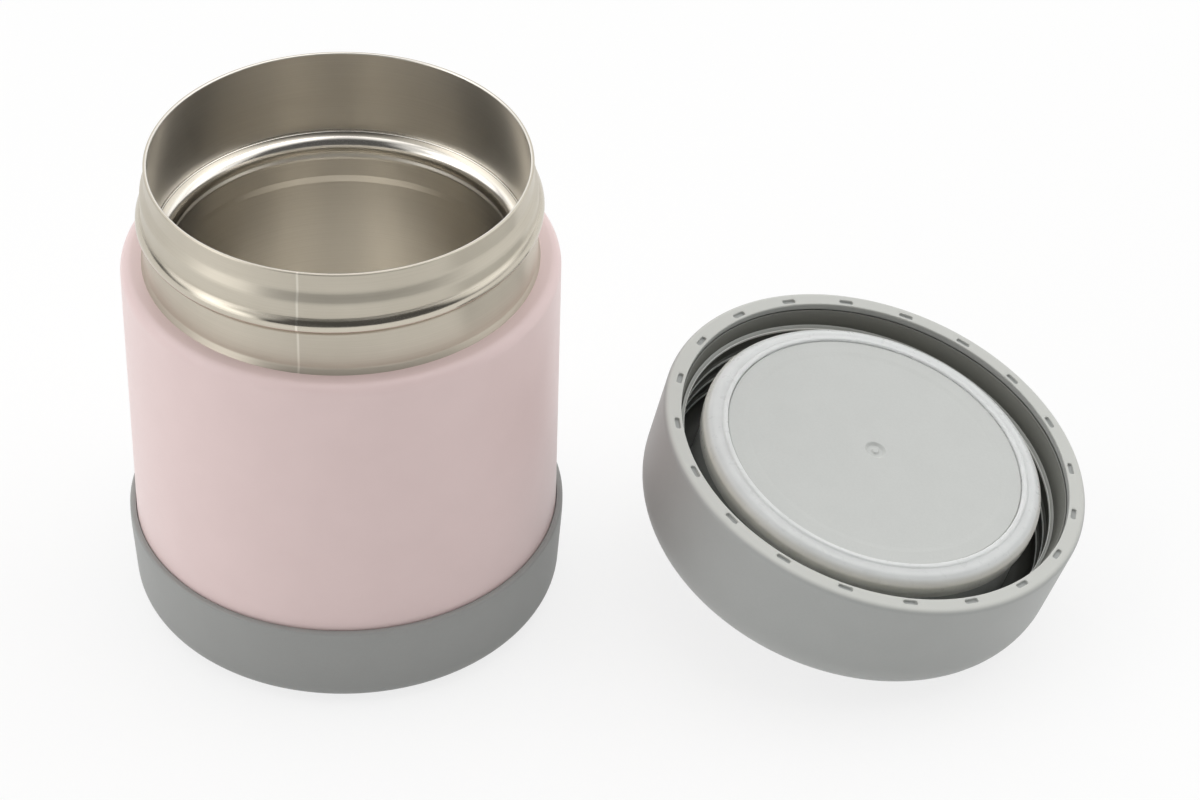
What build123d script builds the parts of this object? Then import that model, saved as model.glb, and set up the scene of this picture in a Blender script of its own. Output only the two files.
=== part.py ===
from build123d import *
import math
import os

# Insulated food jar with its screw lid taken off. Millimetres, +Z up. The jar's axis is
# the Z axis and the table is z = 0. The lid leans beside the jar, with its mouth up.

# Jar: main sizes
shell_r = 46.0            # outside of the coated wall
shoulder_z = 85.6         # flat shoulder where the bare neck starts
mouth_inset = 6.8         # coated wall in to the bore of the mouth
ledge_drop = 20.0         # gasket ledge below the rim
ledge_w = 3.2             # width of the gasket ledge
bowl_undercut = 0.8       # bowl wall behind the nose of the ledge
shell_wall = 0.5          # sheet of the outer wall and the bottom
neck_wall = 0.4           # thinner drawn sheet of the neck and the mouth
vessel_wall = 0.5         # sheet of the food vessel
shoulder_round = 2.3
foot_round = 3.0
bowl_round = 10.0

# Neck: flare under the rim, thread roll and bottom flare
rim_weld_h = 3.6          # height over which the two walls touch at the rim
neck_flare = 1.05         # radius gained from the rim to the roll
neck_flare_h = 4.0
neck_foot_flare = 0.7
neck_foot_flare_h = 2.4

# Screw thread shared by neck and lid
thread_lead = 4.4
roll_w = 3.2              # rolled ridge on the neck
roll_h = 1.2
roll_turn_deg = 330.0
roll_drop = 11.95         # rim down to the roll's centre at the front
ridge_w = 1.3             # moulded ridge in the lid; the rest of the lead is free play
thread_play = 0.45        # crest of the roll to the lid's bore
thread_catch = 0.75       # how far the ridge reaches under the roll
ridge_first_h = 5.1       # mouth of the lid down to the ridge's first end
ridge_floor_gap = 0.11    # ridge's last end to the rounded floor of the groove
thread_sink = 0.2         # ridge's edges lie this far inside the wall
thread_end_deg = 20.0     # slope at which a ridge's end runs out

# Foot
boot_top_z = 20.9
boot_wall = 1.4           # thickness at the boot's top edge
boot_fit = 0.05           # glue gap round the shell
boot_bottom_z = 0.6
boot_floor = 1.6
boot_taper = 1.0          # radius lost from the widest line to the bottom edge
boot_edge_round = 4.6
boot_seat_w = 8.0         # ring that carries the shell
shell_foot_z = 6.5        # underside of the shell
pad_t = 1.6
pad_fit = 0.2

# Vacuum space
bottom_step = 2.0         # rise of the bottom plate's centre
bottom_step_in = 16.0     # coated wall in to that step
vessel_lift = 3.5         # bottom plate up to the food vessel
port_r = 1.2
plug_head_r = 3.5
plug_head_h = 1.2
plug_fit = 0.05
clip_edge = 1.0           # end of the clip to the step
clip_w = 7.0
clip_t = 0.3
getter_r = 4.0
getter_h = 2.0
getter_place = 0.6        # share of the way from the centre to the step

# Lid, in its own frame: z = 0 is the mouth plane, +z points out of the mouth
lid_over = 2.0            # lid's rim outside the coated wall
lid_clear = 1.4           # closed lid's rim over the shoulder
lid_taper = 1.13          # radius lost from the mouth to the closed end
lid_edge_round = 11.0
lid_rim_round = 1.2
lid_wall = 2.5
lid_top_wall = 2.24
lid_lip_h = 1.6           # inward lip that holds the liner
pocket_count = 20
pocket_l = 3.2
pocket_w = 1.1
pocket_depth = 0.7
pocket_out = 1.2          # lip edge out to the pockets' centre line
pocket_phase_deg = 8.4

# Liner: threaded sleeve, groove for the neck and plug
liner_fit = 0.05          # push fit in the lip
liner_drop = 1.2          # mouth plane down to the liner's edge
liner_wall = 1.35
lead_in_extra = 0.65      # wider bore above the thread
lead_in_h = 2.5
rim_play = 2.1            # closed jar's rim to the floor of the groove
liner_floor = 1.2
liner_lift = 2.1          # closed end of the lid up to the liner
liner_edge_round = 5.0
plug_play = 1.8           # bore of the mouth in to the plug
plug_wall = 1.6
gasket_seat_w = 4.0       # shoulder of the plug that carries the gasket
face_drop = 1.2
face_t = 1.6
gasket_seat_drop = 4.0
gate_r = 2.4
gate_depth = 0.4
gate_nub_r = 0.8
foam_fit = 0.1

# Gasket
gasket_fit = 0.05
gasket_lip_play = 0.66    # bore of the mouth in to the lip
gasket_lip_drop = 2.3
gasket_bead_drop = 0.75
gasket_skirt_h = 1.4
gasket_skirt_fit = 0.1

# Place of the lid beside the jar; its height comes from the edge that rests on the table
lid_apart = 21.51         # coated wall to the lid's rim, were the lid upright
lid_side = -0.11
lid_lean_x_deg = 13.459   # lean towards +X
lid_lean_y_deg = -4.836   # lean towards +Y

# Derived sizes
neck_h = ledge_drop + gasket_lip_drop + lid_clear
mouth_r = shell_r - mouth_inset
rim_z = shoulder_z + neck_h
ledge_z = rim_z - ledge_drop
nose_r = mouth_r - ledge_w
bowl_r = nose_r + bowl_undercut
rim_r = mouth_r + 2 * neck_wall
roll_base_r = rim_r + neck_flare
neck_foot_r = roll_base_r + neck_foot_flare
bottom_step_r = shell_r - bottom_step_in
getter_x = bottom_step_r * getter_place
clip_l = 2 * (bottom_step_r - clip_edge - getter_x)
plate_z = shell_foot_z + shell_wall
plate_top_z = plate_z + bottom_step + shell_wall
vessel_z = plate_top_z + vessel_lift
boot_r = shell_r + boot_fit + boot_wall
pad_r = shell_r - 5.0
thread_bore_r = roll_base_r + roll_h + thread_play
ridge_h = thread_play + thread_catch
liner_r = thread_bore_r + liner_wall
lid_lip_r = liner_r + liner_fit
lid_r = shell_r + lid_over
groove_depth = ledge_drop + gasket_lip_drop + rim_play
groove_round = liner_edge_round - liner_floor
ridge_last_h = groove_depth - groove_round - ridge_w / 2 - ridge_floor_gap
ridge_turns = (ridge_last_h - ridge_first_h) / thread_lead
lid_h = groove_depth + liner_floor + liner_lift + lid_top_wall
plug_r = mouth_r - plug_play
face_r = plug_r - gasket_seat_w
gasket_lip_r = mouth_r - gasket_lip_play


def turned(corners, rounds=None):
    """Turn a closed outline of (radius, height) corners about Z. rounds: corner -> radius."""
    outline = Wire.make_polygon([Vector(r, 0, z) for r, z in corners], close=True)
    face = Face(outline)
    for index, radius in (rounds or {}).items():
        corner = Vector(corners[index][0], 0, corners[index][1])
        nearest = min(face.vertices(), key=lambda v: (v.center() - corner).length)
        face = face.fillet_2d(radius, [nearest])
    return revolve(face, Axis.Z)


def disc(radius, bottom, height):
    """Upright cylinder on the Z axis."""
    return Pos(0, 0, bottom) * Cylinder(radius, height, align=(Align.CENTER, Align.CENTER, Align.MIN))


def ridge_section(radius, angle_deg, z, width, height, side, root):
    """Thread section at one angle: a low one is an arc, a tall one a tapered fin.

    side +1 points outwards and -1 inwards. root reaches back into the wall.
    """
    angle = math.radians(angle_deg)
    radial = Vector(math.cos(angle), math.sin(angle), 0)
    tangent = Vector(-math.sin(angle), math.cos(angle), 0)
    plane = Plane(origin=radial * radius + Vector(0, 0, z), x_dir=radial * side, z_dir=tangent * side)
    half = width / 2
    corners = [(0, half), (-root, half), (-root, -half), (0, -half)]
    top, root_top, root_low, low = [plane.from_local_coords((x, y, 0)) for x, y in corners]
    if height < half:
        flank = ThreePointArc(low, plane.from_local_coords((height, 0, 0)), top)
    else:
        fin_low = plane.from_local_coords((height, -half / 2, 0))
        fin_top = plane.from_local_coords((height, half / 2, 0))
        flank = Polyline(low, fin_low, fin_top, top)
    back = Polyline(top, root_top, root_low, low)
    return Face(Wire([*flank.edges(), *back.edges()]))


def thread_ridge(radius, start_deg, turn_deg, start_z, width, height, side, root):
    """Helical ridge on a wall of this radius, sunk in it a little, with its ends rounded off."""
    path = Helix(thread_lead, thread_lead * turn_deg / 360, radius)
    path = Pos(0, 0, start_z) * (Rot(0, 0, start_deg) * path)
    section = ridge_section(
        radius - side * thread_sink, start_deg, start_z, width, height + thread_sink, side, root
    )
    ridge = sweep(section, path=path, is_frenet=True)
    edge = Align.MIN if side > 0 else Align.MAX
    for angle_deg, turn in ((start_deg, -1), (start_deg + turn_deg, 1)):
        z = start_z + thread_lead * (angle_deg - start_deg) / 360
        ramp = Box(4 * height, 16 * height, 3 * width, align=(edge, Align.CENTER, Align.CENTER))
        ramp = Rot(0, 0, turn * side * thread_end_deg) * ramp
        ridge = ridge - Rot(0, 0, angle_deg) * (Pos(radius, 0, z) * ramp)
    return ridge


def make_foot_pad():
    pad = disc(pad_r - pad_fit, 0, pad_t)
    return fillet(pad.edges().group_by(Axis.Z)[0], 0.4)


def make_base_ring():
    """Boot that wraps the foot; its widest line lies just under its top edge."""
    widest_z = boot_top_z - 2.4
    low_r = boot_r - boot_taper
    return turned(
        [
            (pad_r, boot_bottom_z),
            (low_r, boot_bottom_z),
            (boot_r + 0.05, widest_z),
            (boot_r, boot_top_z),
            (shell_r + boot_fit, boot_top_z),
            (shell_r + boot_fit, shell_foot_z),
            (shell_r - boot_seat_w, shell_foot_z),
            (shell_r - boot_seat_w, pad_t + boot_floor),
            (0, pad_t + boot_floor),
            (0, pad_t),
            (pad_r, pad_t),
        ],
        {1: boot_edge_round, 3: boot_wall / 2, 4: 0.3, 5: foot_round - boot_fit},
    )


def make_outer_shell():
    inner_r = shell_r - shell_wall
    neck_bore = neck_foot_r - neck_wall
    return turned(
        [
            (neck_bore, shoulder_z),
            (shell_r, shoulder_z),
            (shell_r, shell_foot_z),
            (shell_r - 6, shell_foot_z),
            (shell_r - 6, plate_z),
            (inner_r, plate_z),
            (inner_r, shoulder_z - shell_wall),
            (neck_bore, shoulder_z - shell_wall),
        ],
        {
            1: shoulder_round,
            2: foot_round,
            5: foot_round - shell_wall,
            6: shoulder_round - shell_wall,
        },
    )


def make_neck():
    """Bare upper stretch of the outer wall with its rolled thread."""
    flare_top = rim_z - rim_weld_h
    flare_low = flare_top - neck_flare_h
    foot_top = shoulder_z + neck_foot_flare_h
    outside = [
        (rim_r, rim_z),
        (rim_r, flare_top),
        (roll_base_r, flare_low),
        (roll_base_r, foot_top),
        (neck_foot_r, shoulder_z),
    ]
    bore = [(r - neck_wall, z) for r, z in outside]
    blank = turned([(0, rim_z), *outside, (0, shoulder_z)], {1: 0.18, 2: 6.0, 3: 5.0, 4: 3.0})
    core = turned(
        [(0, rim_z + 1), (bore[0][0], rim_z + 1), *bore[1:4], (bore[4][0], shoulder_z - 1), (0, shoulder_z - 1)],
        {2: 6.4, 3: 4.6, 4: 3.4},
    )
    front_deg = 270.0
    start_deg = front_deg - roll_turn_deg / 2
    start_z = rim_z - roll_drop - thread_lead * (front_deg - start_deg) / 360
    roll = thread_ridge(roll_base_r, start_deg, roll_turn_deg, start_z, roll_w, roll_h, 1, 1.0)
    return blank + roll - core


def make_inner_vessel():
    """Food vessel: mouth wall, ledge with a rolled nose, bowl."""
    out_r = mouth_r + neck_wall
    ledge_low = ledge_z - vessel_wall
    return turned(
        [
            (mouth_r, rim_z),
            (mouth_r, ledge_z),
            (nose_r, ledge_z),
            (nose_r, ledge_z - 1.6),
            (bowl_r, ledge_z - 2.8),
            (bowl_r, vessel_z + vessel_wall),
            (0, vessel_z + vessel_wall),
            (0, vessel_z),
            (bowl_r + vessel_wall, vessel_z),
            (bowl_r + vessel_wall, ledge_z - 3.0),
            (nose_r + vessel_wall, ledge_z - 1.8),
            (nose_r + vessel_wall, ledge_low),
            (out_r, ledge_low),
            (out_r, rim_z),
        ],
        {
            0: 0.18,
            1: 0.6,
            2: 0.9,
            4: 1.0,
            5: bowl_round,
            8: bowl_round + vessel_wall,
            11: 0.4,
        },
    )


def make_outer_bottom():
    step_in = bottom_step_r - bottom_step / 2
    step_out = bottom_step_r + bottom_step / 2
    edge_r = shell_r - shell_wall - foot_round + 0.3
    high = plate_z + bottom_step
    return turned(
        [
            (port_r, high),
            (step_in, high),
            (step_out, plate_z),
            (edge_r, plate_z),
            (edge_r, plate_z + shell_wall),
            (step_out + 0.2, plate_z + shell_wall),
            (step_in + 0.2, high + shell_wall),
            (port_r, high + shell_wall),
        ],
        {1: 1.5, 2: 1.0, 5: 1.4, 6: 1.0},
    )


def make_vacuum_plug():
    """Brazed plug: a domed head under the plate and a stem in the port."""
    head_top = plate_z + bottom_step
    stem_r = port_r - plug_fit
    return turned(
        [
            (0, head_top - plug_head_h),
            (plug_head_r, head_top - plug_head_h),
            (plug_head_r, head_top),
            (stem_r, head_top),
            (stem_r, head_top + shell_wall),
            (0, head_top + shell_wall),
        ],
        {1: plug_head_h * 0.7},
    )


def make_getter_clip():
    """Strip spot-welded to the plate; two folded ears hold the pellet."""
    base = Pos(getter_x, 0, plate_top_z + clip_t / 2) * Box(clip_l, clip_w, clip_t)
    ear_h = clip_t + getter_h * 0.7
    ear_y = getter_r + clip_t / 2
    ear = Box(3.0, clip_t, ear_h, align=(Align.CENTER, Align.CENTER, Align.MIN))
    tab = Box(3.0, 2 * getter_r + 2 * clip_t, clip_t)
    clip = base + Pos(getter_x, 0, plate_top_z + clip_t / 2) * tab
    for side in (-1, 1):
        clip = clip + Pos(getter_x, side * ear_y, plate_top_z) * ear
    return clip


def make_getter():
    pellet = disc(getter_r, 0, getter_h)
    pellet = fillet(pellet.edges().filter_by(GeomType.CIRCLE), 0.3)
    return Pos(getter_x, 0, plate_top_z + clip_t) * pellet


def make_lid_cap():
    """Outer moulding of the lid, with pockets round its rim."""
    end_r = lid_r - lid_taper
    floor = -lid_h + lid_top_wall
    cap = turned(
        [
            (lid_lip_r, 0),
            (lid_r, 0),
            (end_r, -lid_h),
            (0, -lid_h),
            (0, floor),
            (end_r - lid_wall + 0.5, floor),
            (lid_r - lid_wall, -lid_lip_h),
            (lid_lip_r, -lid_lip_h),
        ],
        {1: lid_rim_round, 2: lid_edge_round, 5: lid_edge_round - lid_wall + 0.5, 0: 0.3},
    )
    pocket = Box(pocket_w, pocket_l, 2 * pocket_depth)
    pocket = fillet(pocket.edges().filter_by(Axis.Z), 0.25)
    ring_r = lid_lip_r + pocket_out
    for index in range(pocket_count):
        angle = pocket_phase_deg + index * 360 / pocket_count
        cap = cap - Rot(0, 0, angle) * Pos(ring_r, 0, 0) * pocket
    return cap


def make_lid_liner():
    """Threaded sleeve, groove for the neck, and the plug with its gate mark."""
    lead_in_r = thread_bore_r + lead_in_extra
    lead_in_low = -liner_drop - lead_in_h
    groove = -groove_depth
    under = groove - liner_floor
    face = -face_drop
    seat = -gasket_seat_drop
    boss_in = face_r - plug_wall
    plug_in = plug_r - plug_wall
    blank = turned(
        [
            (0, face),
            (face_r, face),
            (face_r, seat),
            (plug_r, seat),
            (plug_r, -liner_drop),
            (liner_r, -liner_drop),
            (liner_r, under),
            (plug_in, under),
            (plug_in, seat - plug_wall),
            (boss_in, seat - plug_wall),
            (boss_in, face - face_t),
            (0, face - face_t),
        ],
        {1: 0.4, 6: liner_edge_round},
    )
    space = turned(
        [
            (plug_r, 1),
            (lead_in_r, 1),
            (lead_in_r, lead_in_low),
            (thread_bore_r, lead_in_low - lead_in_extra),
            (thread_bore_r, groove),
            (plug_r, groove),
        ],
        {3: 0.5, 4: groove_round, 5: 1.0},
    )
    ridge = thread_ridge(
        thread_bore_r,
        215.0 - 360 * ridge_turns,
        360 * ridge_turns,
        -ridge_first_h - thread_lead * ridge_turns,
        ridge_w,
        ridge_h,
        -1,
        0.8,
    )
    sleeve_top = -ridge_first_h + ridge_w / 2 + 0.05
    sleeve_low = -ridge_first_h - thread_lead * ridge_turns - ridge_w / 2 - 0.05
    sleeve = turned(
        [
            (thread_bore_r, sleeve_low),
            (liner_r, sleeve_low),
            (liner_r, sleeve_top),
            (thread_bore_r, sleeve_top),
        ]
    )
    gate = disc(gate_r, face - gate_depth, 2 * gate_depth)
    nub = disc(gate_nub_r, face - gate_depth, gate_depth * 0.8)
    body = blank - space - sleeve - gate + nub
    return body + (sleeve + ridge)


def make_lid_insulation():
    """Foam puck between the plug's face and the closed end of the lid."""
    top = -face_drop - face_t
    step = -gasket_seat_drop - plug_wall
    low = -lid_h + lid_top_wall
    small_r = face_r - plug_wall - foam_fit
    large_r = plug_r - plug_wall - foam_fit
    return turned([(0, top), (small_r, top), (small_r, step), (large_r, step), (large_r, low), (0, low)])


def make_gasket():
    """Silicone ring: a bead round the face, a lip for the ledge and a skirt on the plug."""
    bore = face_r + gasket_fit
    seat = -gasket_seat_drop + gasket_fit
    skirt_r = plug_r + gasket_skirt_fit
    lip_low = -gasket_lip_drop - 0.3
    return turned(
        [
            (bore, seat),
            (bore, -gasket_bead_drop),
            (bore + 2.2, -gasket_bead_drop),
            (bore + 2.6, -gasket_lip_drop),
            (gasket_lip_r, -gasket_lip_drop),
            (gasket_lip_r, lip_low),
            (gasket_lip_r - 0.1, -gasket_seat_drop - gasket_skirt_h),
            (skirt_r, -gasket_seat_drop - gasket_skirt_h),
            (skirt_r, seat),
        ],
        {1: 0.6, 2: 1.2, 3: 0.8, 4: 0.25, 6: 0.3},
    )


def lid_place():
    """Location of the lid's own frame where it leans beside the jar."""
    lean_x = math.radians(lid_lean_x_deg)
    lean_y = math.radians(lid_lean_y_deg)
    axis = Vector(math.sin(lean_x), math.sin(lean_y) * math.cos(lean_x), math.cos(lean_y) * math.cos(lean_x))
    across = Vector(0, 1, 0).cross(axis).normalized()
    slope = math.atan(lid_taper / lid_h)
    edge_h = lid_h - lid_edge_round
    edge_r = lid_r - lid_taper * edge_h / lid_h - lid_edge_round / math.cos(slope)
    height = edge_h * axis.Z + edge_r * math.hypot(axis.X, axis.Y) + lid_edge_round
    centre = (shell_r + lid_r + lid_apart, lid_side, height)
    return Plane(origin=centre, x_dir=across, z_dir=axis).location


def main():
    os.makedirs("parts", exist_ok=True)
    jar = {
        "foot_pad": make_foot_pad(),
        "base_ring": make_base_ring(),
        "outer_bottom": make_outer_bottom(),
        "vacuum_plug": make_vacuum_plug(),
        "getter_clip": make_getter_clip(),
        "getter": make_getter(),
        "outer_shell": make_outer_shell(),
        "neck": make_neck(),
        "inner_vessel": make_inner_vessel(),
    }
    lid = {
        "lid_cap": make_lid_cap(),
        "lid_liner": make_lid_liner(),
        "lid_insulation": make_lid_insulation(),
        "gasket": make_gasket(),
    }
    place = lid_place()
    for name, shape in jar.items():
        export_step(shape, f"parts/{name}.step")
    for name, shape in lid.items():
        export_step(place * shape, f"parts/{name}.step")


main()
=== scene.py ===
"""Insulated food jar with its screw lid taken off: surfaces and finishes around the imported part."""

import logging
import math
from collections.abc import Sequence
from dataclasses import dataclass, field
from enum import Enum
from typing import Any, Protocol

import bmesh
import bpy
from mathutils import Matrix, Vector

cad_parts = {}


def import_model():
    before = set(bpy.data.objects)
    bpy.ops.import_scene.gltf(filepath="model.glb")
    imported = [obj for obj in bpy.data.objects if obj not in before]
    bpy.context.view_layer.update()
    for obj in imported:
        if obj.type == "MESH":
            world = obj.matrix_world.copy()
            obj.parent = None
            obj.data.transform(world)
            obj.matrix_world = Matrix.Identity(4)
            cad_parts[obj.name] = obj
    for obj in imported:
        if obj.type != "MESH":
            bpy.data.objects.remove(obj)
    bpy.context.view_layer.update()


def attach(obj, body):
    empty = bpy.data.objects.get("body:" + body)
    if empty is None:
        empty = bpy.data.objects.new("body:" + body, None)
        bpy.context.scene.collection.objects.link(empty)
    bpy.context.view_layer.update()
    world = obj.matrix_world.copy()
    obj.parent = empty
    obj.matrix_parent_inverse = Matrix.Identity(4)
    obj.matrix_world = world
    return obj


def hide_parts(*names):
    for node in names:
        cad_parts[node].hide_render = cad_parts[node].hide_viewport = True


LOG = logging.getLogger("food_jar")
MM = 0.001
FULL_TURN = math.tau
THREAD_LEAD_MM = 4.4
LID_CENTRE = (115.51, -0.11, 38.306)  # middle of the lid's mouth plane, mm
LID_AXIS = (0.232748, -0.081988, 0.969075)
OUTER_SKIN = 0.375  # a point that lies deeper than this share of a wall is on its inner face
# Type names of nodes that are used again and again
MATH = "ShaderNodeMath"
VECTOR = "ShaderNodeVectorMath"
RANGE = "ShaderNodeMapRange"
MIX = "ShaderNodeMix"
NOISE = "ShaderNodeTexNoise"
BUMP = "ShaderNodeBump"
SPLIT = "ShaderNodeSeparateXYZ"
JOIN = "ShaderNodeCombineXYZ"
MERGE = "GeometryNodeMergeByDistance"
MOVE = "GeometryNodeSetPosition"
# Inputs of a Mix node by number, as their names repeat
FACTOR, NUMBER_A, NUMBER_B, COLOUR_A, COLOUR_B = 0, 2, 3, 6, 7
MOST_NOISE = (0.3, 0.7)  # nearly all values of a noise lie between these
WELD_M = 1e-6  # points closer than this are one
Point = tuple[float, float]
Row = tuple[float, ...]
Material = bpy.types.Material
Socket = bpy.types.NodeSocket
Inputs = dict[int | str, Any] | Sequence[Any]


class Body(Enum):
    """Moving groups of the part."""

    JAR = "jar"
    LID = "lid"
    GASKET = "gasket"


class Shading(Enum):
    """Angle in degrees from which an edge stays crisp."""

    CRISP = 28.0
    SOFT = 50.0


# ---------------------------------------------------------------- small helpers


def linear(colour: str) -> tuple[float, float, float, float]:
    """Turn an sRGB hex colour into the linear colour that a socket takes.

    Args:
        colour: Six hex digits after a hash sign.

    Returns:
        Red, green, blue and alpha from 0 to 1.
    """
    parts = [int(colour[i : i + 2], 16) / 255 for i in (1, 3, 5)]
    red, green, blue = [c / 12.92 if c <= 0.04045 else ((c + 0.055) / 1.055) ** 2.4 for c in parts]
    return red, green, blue, 1.0


def per_metre(size_mm: float) -> float:
    """How many repeats of a size in mm fill a metre."""
    return 1 / (size_mm * MM)


def metres(pair: Point) -> Point:
    """Two sizes in mm as metres."""
    return pair[0] * MM, pair[1] * MM


def around(noise: Socket, middle: float, spread: float) -> tuple[Any, ...]:
    """Inputs of a range in which a noise moves a number round its middle."""
    return noise, *MOST_NOISE, middle - spread, middle + spread


def add_node(
    tree: bpy.types.NodeTree, kind: str, inputs: Inputs = (), **settings: Any
) -> bpy.types.Node:
    """Add a node with its settings, values and links.

    Args:
        tree: Shader or geometry tree that gets the node.
        kind: Blender's type name of the node.
        inputs: Value, or the output socket that feeds it, by socket name or number, or in order.
        settings: Properties of the node itself.

    Returns:
        The new node.
    """
    node = tree.nodes.new(kind)
    for name, value in settings.items():
        setattr(node, name, value)
    for key, value in inputs.items() if isinstance(inputs, dict) else enumerate(inputs):
        if isinstance(value, Socket):
            tree.links.new(value, node.inputs[key])
        else:
            node.inputs[key].default_value = value
    return node


def link_object(name: str, data: bpy.types.ID) -> bpy.types.Object:
    """Put a mesh or a camera into the scene as an object.

    Args:
        name: Name of the object.
        data: Mesh or camera that it holds.

    Returns:
        The new object at the origin.
    """
    made = bpy.data.objects.new(name, data)
    bpy.context.scene.collection.objects.link(made)
    return made


class Nodes:
    """Node tree under construction."""

    def __init__(self, tree: bpy.types.NodeTree) -> None:
        """Empty a tree and start on it."""
        self.tree = tree
        tree.nodes.clear()

    def node(self, kind: str, inputs: Inputs = (), operation: str = "", **settings: Any) -> Socket:
        """Add a node and return its first output in use.

        Args:
            kind: Blender's type name of the node.
            inputs: Values and sockets, as add_node takes them.
            operation: What a node with a choice of operations does.
            settings: Other properties of the node.

        Returns:
            The output socket.
        """
        if operation:
            settings["operation"] = operation
        made = add_node(self.tree, kind, inputs, **settings)
        return next(socket for socket in made.outputs if socket.enabled)

    def round_axis(self, place: Socket) -> tuple[Socket, Socket, Socket, Socket]:
        """X, Y and Z of a place, and its distance from the Z axis."""
        x, y, z = add_node(self.tree, SPLIT, (place,)).outputs
        return x, y, z, self.node(VECTOR, (self.node(JOIN, (x, y)),), "LENGTH")


# ---------------------------------------------------------------- outlines


@dataclass(frozen=True)
class Corner:
    """Corner of a turned outline, in mm: distance from the axis, height and rounding."""

    r: float
    z: float
    round: float = 0.0


def rounded(
    rows: Sequence[Row], *, closed: bool, support: float = 0.12, step_deg: float = 9.0
) -> list[Point]:
    """Round the corners of an outline and hold the flats beside each rounding flat.

    Args:
        rows: Distance from the axis, height and rounding of each corner, in order.
        closed: Whether the last corner joins the first.
        support: Distance in mm of the extra point beside each rounding.
        step_deg: Largest turn between two points of a rounding.

    Returns:
        Points of the finished outline in mm.
    """
    corners = [Corner(*row) for row in rows]
    points: list[Point] = []
    count = len(corners)
    for index, corner in enumerate(corners):
        here = Vector((corner.r, corner.z))
        if corner.round <= 0 or (not closed and index in (0, count - 1)):
            points.append((here.x, here.y))
            continue
        before = corners[index - 1]
        after = corners[(index + 1) % count]
        back = Vector((before.r, before.z)) - here
        ahead = Vector((after.r, after.z)) - here
        room_back, room_ahead = back.length, ahead.length
        back.normalize()
        ahead.normalize()
        opening = math.acos(max(-1.0, min(1.0, back.dot(ahead))))
        reach = corner.round / math.tan(opening / 2)
        centre = here + (back + ahead).normalized() * (corner.round / math.sin(opening / 2))
        start, end = here + back * reach, here + ahead * reach
        if reach + support < room_back:
            points.append(tuple(start + back * support))
        first, last = start - centre, end - centre
        turn = math.atan2(first.x * last.y - first.y * last.x, first.dot(last))
        steps = max(3, math.ceil(abs(math.degrees(turn)) / step_deg))
        for k in range(steps + 1):
            a = turn * k / steps
            c, s = math.cos(a), math.sin(a)
            r = centre.x + first.x * c - first.y * s
            points.append((r, centre.y + first.x * s + first.y * c))
        if reach + support < room_ahead:
            points.append(tuple(end + ahead * support))
    if closed:
        points.append(points[0])
    return points


def outline_object(name: str, points: list[Point]) -> bpy.types.Object:
    """Lay an outline in the XZ plane as a chain of edges, in metres.

    Args:
        name: Name of the object.
        points: Outline in mm.

    Returns:
        The chain as an object.
    """
    mesh = bpy.data.meshes.new(name)
    chain = [(i, i + 1) for i in range(len(points) - 1)]
    mesh.from_pydata([(r * MM, 0, z * MM) for r, z in points], chain, [])
    return link_object(name, mesh)


# ---------------------------------------------------------------- geometry nodes


@dataclass
class Recipe(Nodes):
    """A geometry-nodes tree with named inputs, and the modifiers that use it."""

    name: str
    inputs: dict[str, str]
    tree: bpy.types.NodeTree = field(init=False)
    start: bpy.types.Node = field(init=False)

    def __post_init__(self) -> None:
        """Make the empty tree with its sockets."""
        super().__init__(bpy.data.node_groups.new(self.name, "GeometryNodeTree"))
        sockets = self.tree.interface
        sockets.new_socket("Geometry", in_out="INPUT", socket_type="NodeSocketGeometry")
        for name, kind in [*self.inputs.items(), ("Material", "Material")]:
            sockets.new_socket(name, in_out="INPUT", socket_type=f"NodeSocket{kind}")
        sockets.new_socket("Geometry", in_out="OUTPUT", socket_type="NodeSocketGeometry")
        self.start = self.tree.nodes.new("NodeGroupInput")

    def given(self, name: str) -> Socket:
        """Output socket that carries one of the tree's inputs."""
        return self.start.outputs[name]

    def finish(self, geometry: Socket) -> None:
        """Close the tree: real geometry with its material.

        Args:
            geometry: Socket of the finished geometry.
        """
        real = self.node("GeometryNodeRealizeInstances", (geometry,))
        material = self.given("Material")
        dressed = self.node("GeometryNodeSetMaterial", {"Geometry": real, "Material": material})
        add_node(self.tree, "NodeGroupOutput", (dressed,))

    def apply_to(self, shape: bpy.types.Object, values: dict[str, Any]) -> None:
        """Put this tree on an object and set its inputs by their identifiers.

        Args:
            shape: Object that gets the modifier.
            values: Value of each input, lengths in metres and angles in radians.
        """
        modifier = shape.modifiers.new(self.name, "NODES")
        modifier.node_group = self.tree
        for item in self.tree.interface.items_tree:
            if item.in_out == "INPUT" and item.name in values:
                modifier[item.identifier] = values[item.name]


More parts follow.
